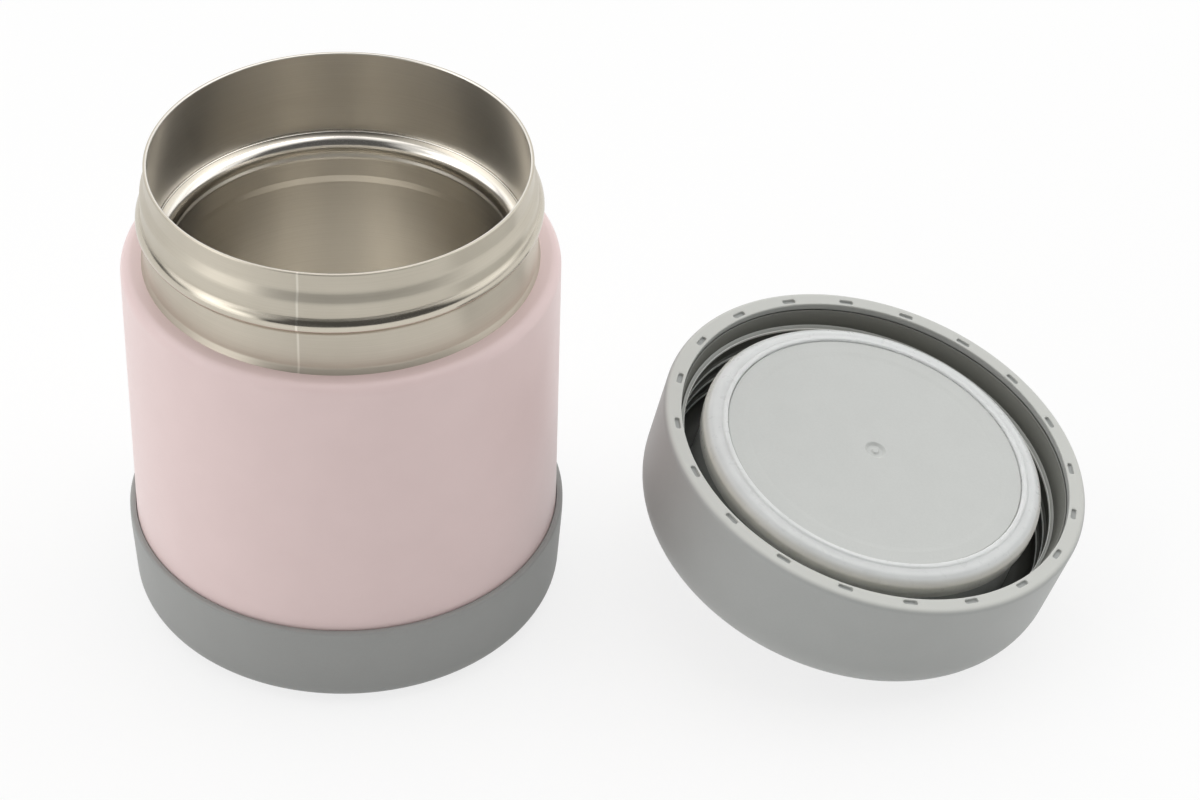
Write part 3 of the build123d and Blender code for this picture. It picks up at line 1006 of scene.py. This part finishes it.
@dataclass
class Jar:
    """Double-walled steel jar on its plastic boot. Sizes in mm, the table at zero."""

    shop: Workshop
    finishes: Finishes
    shell_r: float = 46.0
    shoulder_z: float = 85.6
    shoulder_bore_r: float = 41.35
    rim_z: float = 109.3
    mouth_r: float = 39.2
    ledge_z: float = 89.3
    nose_r: float = 36.0
    bowl_r: float = 36.8
    neck_wall: float = 0.4
    weld_h: float = 3.6
    flare_w: float = 1.05
    flare_z: Point = (102.7, 105.05)
    foot_flare_w: float = 0.55
    foot_flare_h: float = 1.3
    roll_w: float = 4.1
    roll_h: float = 1.2
    roll_softness: float = 1.15
    roll_front_z: float = 97.35
    roll_turn_deg: float = 330.0
    roll_end_deg: float = 25.0
    roll_rows_z: Point = (92.5, 102.0)  # rows stand close between these heights
    roll_row_h: float = 0.14
    roll_edge_h: float = 0.3  # an edge lower than this gets no more rows
    neck_segments: int = 512
    sheet: float = 0.5
    shell_foot_z: float = 6.5
    shell_foot_r: float = 40.0
    floor_z: float = 13.5
    boot_top_z: float = 20.9
    boot_low_z: float = 0.6
    boot_r: float = 47.45
    boot_floor_z: Point = (1.6, 3.2)
    boot_seat_r: float = 38.0
    pad_r: float = 41.0
    glue: float = 0.05

    def build(self) -> None:
        """Make and dress every piece of the jar."""
        self.coated_wall()
        self.neck()
        self.vessel()
        self.boot()
        dress_solids(
            {
                "foot_pad": self.finishes.pad,
                "outer_bottom": self.finishes.sheet,
                "vacuum_plug": self.finishes.braze,
                "getter_clip": self.finishes.sheet,
                "getter": self.finishes.pellet,
            }
        )

    def coated_wall(self) -> None:
        """Powder-coated outer wall from the shoulder to the foot."""
        inner, foot_top = self.shell_r - self.sheet, self.shell_foot_z + self.sheet
        rows = [
            (self.shoulder_bore_r, self.shoulder_z),
            (self.shell_r, self.shoulder_z, 2.3),
            (self.shell_r, self.shell_foot_z, 3.0),
            (self.shell_foot_r, self.shell_foot_z),
            (self.shell_foot_r, foot_top),
            (inner, foot_top, 2.5),
            (inner, self.shoulder_z - self.sheet, 1.8),
            (self.shoulder_bore_r, self.shoulder_z - self.sheet),
        ]
        points = rounded(rows, closed=True, support=0.3, step_deg=6.0)
        raw = self.shop.turn("wall", points, self.finishes.coat)
        piece = self.shop.bake(raw, "coated_wall", Matrix.Identity(4), Shading.CRISP)
        mount(piece, Body.JAR, ("outer_shell",))

    @property
    def rim_r(self) -> float:
        """Outer radius at the rim."""
        return self.mouth_r + 2 * self.neck_wall

    @property
    def base_r(self) -> float:
        """Outer radius of the neck below its flare."""
        return self.rim_r + self.flare_w

    def neck_outline(self) -> list[Point]:
        """Draw the bare neck, with close rows where the thread is rolled.

        Returns:
            Outline in mm, open at the shoulder.
        """
        rim_r, base_r, wall = self.rim_r, self.base_r, self.neck_wall
        low, high = self.flare_z
        foot_r, foot_top = base_r + self.foot_flare_w, self.shoulder_z + self.foot_flare_h
        rows = [
            (rim_r - wall, self.rim_z),
            (rim_r, self.rim_z, 0.3),
            (rim_r, high, 2.6),
            (base_r, low, 2.6),
            (base_r, foot_top, 1.4),
            (foot_r, self.shoulder_z),
        ]
        outside = rounded(rows, closed=False, step_deg=3.0)
        inside = [
            (foot_r - wall, self.shoulder_z),
            (base_r - wall, foot_top),
            (base_r - wall, low),
            (rim_r - wall, self.rim_z - self.weld_h),
            (rim_r - wall, self.rim_z),
        ]
        roll_low, roll_high = self.roll_rows_z
        dense: list[Point] = []
        for (r0, z0), (r1, z1) in zip(outside, outside[1:]):
            rise = abs(z1 - z0)
            rolled = rise > self.roll_edge_h and max(z0, z1) > roll_low and min(z0, z1) < roll_high
            steps = max(1, round(rise / self.roll_row_h)) if rolled else 1
            dense += [
                (r0 + (r1 - r0) * k / steps, z0 + (z1 - z0) * k / steps) for k in range(steps)
            ]
        return [*dense, outside[-1], *inside]

    def neck(self) -> None:
        """Bare neck: flare below the rim, rolled thread and flared foot."""
        raw = self.shop.turn("neck", self.neck_outline(), self.finishes.steel, self.neck_segments)
        values: dict[str, Any] = {
            "Wall Radius": self.base_r * MM,
            "Wall": self.neck_wall * MM,
            "Width": self.roll_w * MM,
            "Height": self.roll_h * MM,
            "Softness": self.roll_softness,
            "Lead": THREAD_LEAD_MM * MM,
            "Front Height": self.roll_front_z * MM,
            "Turn": math.radians(self.roll_turn_deg),
            "End Angle": math.radians(self.roll_end_deg),
            "Material": self.finishes.steel,
        }
        self.shop.rolled.apply_to(raw, values)
        piece = self.shop.bake(raw, "bare_neck", Matrix.Identity(4), Shading.SOFT)
        mount(piece, Body.JAR, ("neck",))

    def vessel(self) -> None:
        """Food vessel: mouth wall, rolled ledge, beaded throat and deep bowl."""
        out = self.mouth_r + self.neck_wall
        low = self.ledge_z - self.sheet
        wide, throat = self.bowl_r + 0.15, self.bowl_r - 0.15
        rows = [
            (0, self.floor_z),
            (self.bowl_r, self.floor_z, 10.0),
            (wide, 60.0, 30.0),
            (wide, 77.6, 1.6),
            (throat, 79.4, 1.6),
            (throat, 83.9, 0.5),
            (self.bowl_r - 0.5, 84.5, 0.3),
            (throat, 85.2, 0.4),
            (self.bowl_r - 0.1, self.ledge_z - 3.9, 0.4),
            (self.nose_r, self.ledge_z - 3.3, 0.3),
            (self.nose_r, self.ledge_z, 2.85),
            (self.mouth_r, self.ledge_z, 0.25),
            (self.mouth_r, self.rim_z, 0.3),
            (out, self.rim_z),
            (out, low),
            (self.nose_r + self.sheet, low, 2.4),
            (self.nose_r + self.sheet, self.ledge_z - 3.0),
            (self.bowl_r + self.sheet, self.ledge_z - 3.8),
            (self.bowl_r + self.sheet, self.floor_z - self.sheet, 10.5),
            (0, self.floor_z - self.sheet),
        ]
        points = rounded(rows, closed=False, step_deg=6.0)
        raw = self.shop.turn("vessel", points, self.finishes.vessel)
        piece = self.shop.bake(raw, "food_vessel", Matrix.Identity(4), Shading.CRISP)
        mount(piece, Body.JAR, ("inner_vessel",))

    def boot(self) -> None:
        """Soft-edged plastic boot round the foot, with a recess for the pad under its floor."""
        bore, top = self.shell_r + self.glue, self.boot_top_z
        floor_low, floor_high = self.boot_floor_z
        rows = [
            (0, floor_low),
            (self.pad_r, floor_low),
            (self.pad_r, self.boot_low_z),
            (self.boot_r - 1.0, self.boot_low_z, 4.6),
            (self.boot_r + 0.05, top - 2.4, 30.0),
            (self.boot_r, top, 0.55),
            (bore + 0.1, top, 0.2),
            (bore, top - 0.6),
            (bore, self.shell_foot_z, 2.95),
            (self.boot_seat_r, self.shell_foot_z),
            (self.boot_seat_r, floor_high),
            (0, floor_high),
        ]
        points = rounded(rows, closed=False, support=0.3, step_deg=6.0)
        raw = self.shop.turn("boot", points, self.finishes.boot)
        piece = self.shop.bake(raw, "foot_boot", Matrix.Identity(4), Shading.CRISP)
        mount(piece, Body.JAR, ("base_ring",))


def dress_solids(finishes: dict[str, Material]) -> None:
    """Give CAD nodes that stay visible their material.

    Args:
        finishes: Node name and its material.
    """
    for name, material in finishes.items():
        node = bpy.data.objects[name]
        for slot in node.material_slots:
            slot.material = material
        LOG.info("%s: solid kept, %s", name, material.name)


# ---------------------------------------------------------------- lid


@dataclass
class Lid:
    """Screw lid in its own frame, mouth plane at zero and opening upwards. Sizes in mm."""

    shop: Workshop
    finishes: Finishes
    outer_r: float = 48.0
    height: float = 29.94
    taper: float = 1.13
    top_wall: float = 2.24
    flat_r: Point = (44.45, 46.3)  # edges of the rim's flat, inside and outside the pockets
    lip_r: float = 44.1
    lip_h: float = 1.6
    bore_under_lip_r: float = 45.5
    liner_r: float = 44.05
    bore_r: float = 42.7
    plug_r: float = 37.4
    plug_wall: float = 1.6
    seat_z: float = -4.0
    face_r: float = 33.4
    groove_z: float = -24.4
    groove_wall: float = 1.2
    sleeve_top_z: float = -1.75
    ridge_h: float = 0.6
    ridge_turns: float = 3.35
    ridge_top_z: float = -5.0
    ridge_end_deg: float = 215.0
    ridge_fade_deg: float = 24.0
    ridge_segments: int = 720
    skirt_r: float = 38.4
    skirt_z: float = -6.3
    pocket_count: int = 20
    pocket_r: float = 45.3
    pocket_size: Point = (1.1, 3.2)
    pocket_corner_r: float = 0.46
    pocket_corner_steps: int = 4
    pocket_phase_deg: float = 8.4
    # Outward step and height of each loop of a pocket's wall
    pocket_steps: tuple[Point, ...] = (
        (0.2, 0.0),
        (0.07, -0.06),
        (0.0, -0.2),
        (-0.05, -0.55),
        (-0.2, -0.66),
    )
    sector_steps: int = 22

    def __post_init__(self) -> None:
        """Work out where the lid's frame stands."""
        up = Vector(LID_AXIS).normalized()
        across = Vector((0, 1, 0)).cross(up).normalized()
        side = up.cross(across)
        turn = Matrix((across, side, up)).transposed().to_4x4()
        self.place = Matrix.Translation(Vector(LID_CENTRE) * MM) @ turn

    def build(self) -> None:
        """Make and dress every piece of the lid."""
        self.cap()
        self.liner()
        self.sleeve()
        self.ridge()
        self.gasket()
        dress_solids({"lid_insulation": self.finishes.foam})

    def cap_outline(self) -> list[Point]:
        """Draw the cap from the pockets' inner edge round to their outer edge.

        Returns:
            Outline in mm, open across the rim's flat.
        """
        end_r = self.outer_r - self.taper
        floor = -self.height + self.top_wall
        inside = [
            (self.flat_r[0], 0),
            (self.lip_r, 0, 0.25),
            (self.lip_r, -self.lip_h),
            (self.bore_under_lip_r, -self.lip_h),
            (end_r - 2.0, floor, 9.0),
            (0, floor),
        ]
        outside = [
            (0, -self.height),
            (end_r, -self.height, 11.0),
            (self.outer_r, 0, 1.2),
            (self.flat_r[1], 0),
        ]
        hollow = rounded(inside, closed=False, support=0.08, step_deg=7.0)
        return hollow + rounded(outside, closed=False, support=0.25, step_deg=5.0)

    def cap_sector(self) -> bpy.types.Object:
        """One sector of the cap with its pocket, ready to be repeated.

        Returns:
            The sector as an object in the lid's frame.
        """
        sector = FULL_TURN / self.pocket_count
        shell = bmesh.new()
        points = self.cap_outline()
        columns = []
        for k in range(self.sector_steps + 1):
            a = sector * (k / self.sector_steps - 0.5)
            c, s = math.cos(a) * MM, math.sin(a) * MM
            columns.append([shell.verts.new((r * c, r * s, z * MM)) for r, z in points])
        pairs = list(zip(columns, columns[1:]))
        for left, right in pairs:
            for k in range(len(points) - 1):
                if points[k][0] > 0 or points[k + 1][0] > 0:
                    shell.faces.new((left[k], left[k + 1], right[k + 1], right[k]))
        rim = [shell.edges.get((left[n], right[n])) for left, right in pairs for n in (0, -1)]
        rim += [shell.edges.new((columns[k][0], columns[k][-1])) for k in (0, -1)]
        loops = [self.pocket_loop(shell, grow, depth) for grow, depth in self.pocket_steps]
        count = len(loops[0])
        for upper, lower in zip(loops, loops[1:]):
            for k in range(count):
                n = (k + 1) % count
                shell.faces.new((upper[k], upper[n], lower[n], lower[k]))
        shell.faces.new(loops[-1])
        hole = [shell.edges.get((loops[0][k], loops[0][(k + 1) % count])) for k in range(count)]
        bmesh.ops.triangle_fill(shell, use_beauty=True, edges=[*rim, *hole])
        mesh = bpy.data.meshes.new("cap_sector")
        shell.to_mesh(mesh)
        shell.free()
        return link_object("cap_sector", mesh)

    def pocket_loop(
        self, shell: bmesh.types.BMesh, grow: float, depth: float
    ) -> list[bmesh.types.BMVert]:
        """One loop of a pocket's wall: a rectangle with round corners.

        Args:
            shell: Mesh that gets the loop.
            grow: How far the loop stands outside the pocket's outline.
            depth: Height of the loop, below the rim where negative.

        Returns:
            The loop's points in order.
        """
        width, length = self.pocket_size
        corner = self.pocket_corner_r + grow * 0.5
        half_w, half_l = width / 2 + grow - corner, length / 2 + grow - corner
        loop = []
        for side_x, side_y, start in ((1, 1, 0), (-1, 1, 90), (-1, -1, 180), (1, -1, 270)):
            for step in range(self.pocket_corner_steps + 1):
                a = math.radians(start + step * 90 / self.pocket_corner_steps)
                x = self.pocket_r + side_x * half_w + corner * math.cos(a)
                y = side_y * half_l + corner * math.sin(a)
                loop.append(shell.verts.new((x * MM, y * MM, depth * MM)))
        return loop

    def cap(self) -> None:
        """Outer moulding, its sector repeated round the axis."""
        raw = self.cap_sector()
        values = {
            "Count": self.pocket_count,
            "Phase": math.radians(self.pocket_phase_deg),
            "Material": self.finishes.lid,
        }
        self.shop.ring.apply_to(raw, values)
        piece = self.shop.bake(raw, "lid_moulding", self.place, Shading.CRISP)
        mount(piece, Body.LID, ("lid_cap",))

    def liner(self) -> None:
        """Inner moulding: plug with its gate mark, its face and the gasket's seat."""
        face, inner = self.face_r, self.plug_r - self.plug_wall
        gate = [
            (0, -1.36),
            (0.6, -1.38, 0.2),
            (0.95, -1.72, 0.15),
            (1.75, -1.76, 0.35),
            (2.4, -1.2, 0.3),
        ]
        rows = [
            *gate,
            (28.8, -1.2, 0.8),
            (30.0, -1.11, 0.8),
            (face, -1.11, 0.35),
            (face, self.seat_z, 0.2),
            (self.plug_r, self.seat_z, 0.4),
            (self.plug_r, self.groove_z),
            (inner, self.groove_z),
            (inner, -5.6),
            (face - self.plug_wall, -5.6),
            (face - self.plug_wall, -2.8),
            (0, -2.8),
        ]
        raw = self.shop.turn("liner", rounded(rows, closed=False), self.finishes.liner)
        piece = self.shop.bake(raw, "lid_inner_moulding", self.place, Shading.CRISP)
        mount(piece, Body.LID, ("lid_liner",))

    def sleeve(self) -> None:
        """Sleeve of the inner moulding: groove for the neck, and the wall with the thread."""
        low, high = self.groove_z - self.groove_wall, self.sleeve_top_z
        rows = [
            (self.plug_r - 0.1, self.groove_z),
            (self.plug_r + 0.1, self.groove_z),
            (self.bore_r, self.groove_z, 3.8),
            (self.bore_r, -6.8, 20.0),
            (self.bore_r + 1.05, high, 0.1),
            (self.liner_r, high, 0.1),
            (self.liner_r, low, 5.0),
            (self.plug_r - 0.1, low),
        ]
        raw = self.shop.turn("sleeve", rounded(rows, closed=True), self.finishes.sleeve)
        piece = self.shop.bake(raw, "lid_threaded_sleeve", self.place, Shading.CRISP)
        mount(piece, Body.LID, ())

    def ridge(self) -> None:
        """Thread ridge that winds round the sleeve and sinks into it at both ends."""
        root, flank, crest = self.bore_r + 0.25, self.bore_r - 0.1, self.bore_r - self.ridge_h
        upper = [(root, 0.9), (flank, 0.72, 0.5), (crest, 0.24, 0.15)]
        lower = [(r, -z, *rest) for r, z, *rest in reversed(upper)]
        low = self.ridge_top_z - THREAD_LEAD_MM * self.ridge_turns
        profile = rounded([*upper, *lower], closed=True, support=0.05, step_deg=15.0)
        raw = self.shop.turn(
            "ridge",
            [(r, z + low) for r, z in profile],
            self.finishes.ridge,
            self.ridge_segments,
            start=math.radians(self.ridge_end_deg - 360 * self.ridge_turns),
            turn=FULL_TURN * self.ridge_turns,
            lead=THREAD_LEAD_MM * MM,
            end=math.radians(self.ridge_fade_deg),
            root=root * MM,
        )
        piece = self.shop.bake(raw, "lid_thread_ridge", self.place, Shading.SOFT)
        mount(piece, Body.LID, ())

    def gasket(self) -> None:
        """Silicone ring: bead round the face, sealing lip and skirt."""
        bore, seat, lip = self.face_r + 0.05, self.seat_z + 0.05, self.skirt_r + 0.14
        rows = [
            (bore, seat),
            (bore, -1.5),
            (bore + 0.05, -0.55, 0.45),
            (bore + 1.0, -0.6, 0.45),
            (bore + 1.35, -0.95, 0.3),
            (bore + 2.9, -1.02, 2.2),
            (bore + 4.25, -1.78, 1.6),
            (lip, -2.95, 0.7),
            (lip, -4.9, 0.2),
            (self.skirt_r, -5.05, 0.1),
            (self.skirt_r, self.skirt_z, 0.3),
            (self.plug_r + 0.1, self.skirt_z),
            (self.plug_r + 0.1, seat),
        ]
        points = rounded(rows, closed=True, support=0.1)
        raw = self.shop.turn("gasket", points, self.finishes.gasket)
        piece = self.shop.bake(raw, "gasket_ring", self.place, Shading.SOFT)
        mount(piece, Body.GASKET, ("gasket",))


# ---------------------------------------------------------------- studio


@dataclass(frozen=True)
class Glow:
    """Soft patch of studio light in the world, by direction in degrees and strength."""

    azimuth: float
    elevation: float
    strength: float


@dataclass
class Studio:
    """White table and backdrop, soft light from all round, and the camera."""

    camera_mm: tuple[float, float, float] = (55.004, -593.73, 523.99)
    pitch_deg: float = 38.697
    roll_deg: float = 1.936
    lens_mm: float = 105.975
    sensor_mm: float = 36.0
    clip_m: Point = (0.01, 20.0)
    ambient: float = 0.1
    skirting_deg: Point = (7.0, 11.0)
    paper: str = "#F2F2F1"
    paper_grain_mm: float = 2.5
    paper_depth_mm: float = 0.01
    white_share: float = 0.8
    table_half_m: float = 12.0
    table_cells: int = 8
    glow_spread_deg: float = 27.0
    glow_core: float = 0.15  # share of a patch that has its full strength
    glows: tuple[Glow, ...] = (
        Glow(0, 10, 0.35),
        Glow(30, 10, 0.45),
        Glow(60, 10, 0.5),
        Glow(90, 10, 0.5),
        Glow(120, 10, 0.6),
        Glow(210, 10, 1.45),
        Glow(0, 38, 0.95),
        Glow(30, 38, 0.8),
        Glow(60, 38, 0.55),
        Glow(90, 38, 0.5),
        Glow(120, 38, 0.75),
        Glow(150, 38, 0.55),
        Glow(180, 38, 1.43),
        Glow(210, 38, 0.68),
        Glow(0, 68, 1.2),
        Glow(60, 68, 0.75),
        Glow(120, 68, 0.55),
        Glow(180, 68, 0.6),
        Glow(0, 90, 0.55),
    )

    def build(self) -> None:
        """Make the table, the light and the camera."""
        self.table()
        self.light()
        self.camera()
        LOG.info("studio: table, %d soft lights, camera", len(self.glows))

    def table(self) -> None:
        """White table top that keeps a soft shadow and reads as white to the camera."""
        shell = bmesh.new()
        cells = self.table_cells
        bmesh.ops.create_grid(shell, x_segments=cells, y_segments=cells, size=self.table_half_m)
        mesh = bpy.data.meshes.new("table_top")
        shell.to_mesh(mesh)
        shell.free()
        top = link_object("table_top", mesh)
        material = bpy.data.materials.new("white_table")
        material.use_nodes = True
        made = Nodes(material.node_tree)
        place = add_node(made.tree, "ShaderNodeTexCoord").outputs["Object"]
        grain = made.node(NOISE, {"Vector": place, "Scale": per_metre(self.paper_grain_mm)})
        bump = made.node(BUMP, {"Distance": self.paper_depth_mm * MM, "Height": grain})
        paper = made.node("ShaderNodeBsdfDiffuse", {"Color": linear(self.paper), "Normal": bump})
        glow = made.node("ShaderNodeEmission", {"Color": (1, 1, 1, 1), "Strength": 1.0})
        rays = add_node(made.tree, "ShaderNodeLightPath")
        seen: float | Socket = 0.0
        for kind in ("Is Camera Ray", "Is Glossy Ray", "Is Transmission Ray"):
            seen = made.node(MATH, (seen, rays.outputs[kind]), "MAXIMUM")
        share = made.node(MATH, (seen, self.white_share), "MULTIPLY")
        mixed = made.node("ShaderNodeMixShader", (share, paper, glow))
        add_node(made.tree, "ShaderNodeOutputMaterial", {"Surface": mixed})
        mesh.materials.append(material)

    def light(self) -> None:
        """World of soft lights by direction, over a pale backdrop that stands round the horizon."""
        world = bpy.data.worlds.new("studio")
        bpy.context.scene.world = world
        world.use_nodes = True
        made = Nodes(world.node_tree)
        facing = add_node(made.tree, "ShaderNodeTexCoord").outputs["Generated"]
        edge = math.cos(math.radians(self.glow_spread_deg))
        core = 1 - (1 - edge) * self.glow_core
        total: float | Socket = self.ambient
        for glow in self.glows:
            a, e = math.radians(glow.azimuth), math.radians(glow.elevation)
            aim = (math.cos(a) * math.cos(e), math.sin(a) * math.cos(e), math.sin(e))
            near = made.node(VECTOR, (facing, aim), "DOT_PRODUCT")
            ramp = (near, edge, core, 0.0, glow.strength)
            patch = made.node(RANGE, ramp, interpolation_type="SMOOTHSTEP")
            total = made.node(MATH, (total, patch), "ADD")
        low, high = (math.sin(math.radians(angle)) for angle in self.skirting_deg)
        height = add_node(made.tree, SPLIT, (facing,)).outputs["Z"]
        pale = made.node(RANGE, (height, low, high, 1.0, 0.0), interpolation_type="SMOOTHSTEP")
        total = made.node(MATH, (total, pale), "MAXIMUM")
        lit = made.node("ShaderNodeBackground", {"Color": (1, 1, 1, 1), "Strength": total})
        add_node(made.tree, "ShaderNodeOutputWorld", {"Surface": lit})

    def camera(self) -> None:
        """Camera in front of the jar, above it and a little rolled."""
        pitch, roll = math.radians(self.pitch_deg), math.radians(self.roll_deg)
        ahead = Vector((0, math.cos(pitch), -math.sin(pitch)))
        up = Vector((0, math.sin(pitch), math.cos(pitch)))
        right = Vector((1, 0, 0))
        across = right * math.cos(roll) + up * math.sin(roll)
        upward = up * math.cos(roll) - right * math.sin(roll)
        data = bpy.data.cameras.new("camera")
        data.lens = self.lens_mm
        data.sensor_width = self.sensor_mm
        data.clip_start, data.clip_end = self.clip_m
        eye = link_object("camera", data)
        turn = Matrix((across, upward, -ahead)).transposed().to_4x4()
        eye.matrix_world = Matrix.Translation(Vector(self.camera_mm) * MM) @ turn
        bpy.context.scene.camera = eye


# ---------------------------------------------------------------- the object


def main() -> None:
    """Load the frame, build each sub-assembly over it and set up the studio."""
    logging.basicConfig(level=logging.INFO, format="%(message)s")
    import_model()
    bpy.context.scene.view_settings.view_transform = "Standard"
    shop = Workshop()
    finishes = Finishes()
    for assembly in (Jar(shop, finishes), Lid(shop, finishes), Studio()):
        assembly.build()


if __name__ == "__main__":
    main()
